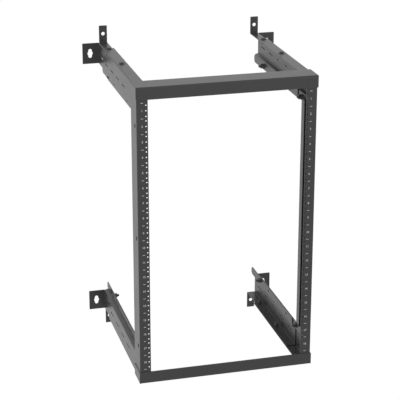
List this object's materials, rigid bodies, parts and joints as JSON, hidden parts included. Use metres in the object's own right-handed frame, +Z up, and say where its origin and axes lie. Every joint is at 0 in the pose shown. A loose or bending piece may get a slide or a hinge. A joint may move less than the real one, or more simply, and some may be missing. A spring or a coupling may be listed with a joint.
{
  "type": "wall mount rack",
  "caption": "Open equipment frame of bent steel sheet with numbered rail holes, held off a wall by slotted arms nested over tabbed wall brackets.",
  "frame": {"origin": "centre of the upper left bracket's keyhole, on the side tab's wall face", "axes": "+X to the right seen from the front, +Y back into the wall, +Z up"},
  "size_m": [0.6092, 0.551, 0.985],
  "materials": {
    "powder_coat": "black satin powder coat",
    "black_zinc": "black zinc"
  },
  "bodies": {
    "root": {"top_rail": "powder_coat", "bottom_rail": "powder_coat", "left_upright": "powder_coat", "right_upright": "powder_coat", "upper_left_arm": "powder_coat", "upper_left_wall_bracket": "powder_coat", "upper_left_front_bolt": "black_zinc", "upper_left_front_nut": "black_zinc", "upper_left_rear_bolt": "black_zinc", "upper_left_rear_nut": "black_zinc", "upper_right_arm": "powder_coat", "upper_right_wall_bracket": "powder_coat", "upper_right_front_bolt": "black_zinc", "upper_right_front_nut": "black_zinc", "upper_right_rear_bolt": "black_zinc", "upper_right_rear_nut": "black_zinc", "lower_left_arm": "powder_coat", "lower_left_wall_bracket": "powder_coat", "lower_left_front_bolt": "black_zinc", "lower_left_front_nut": "black_zinc", "lower_left_rear_bolt": "black_zinc", "lower_left_rear_nut": "black_zinc", "lower_right_arm": "powder_coat", "lower_right_wall_bracket": "powder_coat", "lower_right_front_bolt": "black_zinc", "lower_right_front_nut": "black_zinc", "lower_right_rear_bolt": "black_zinc", "lower_right_rear_nut": "black_zinc"}
  },
  "joints": []
}
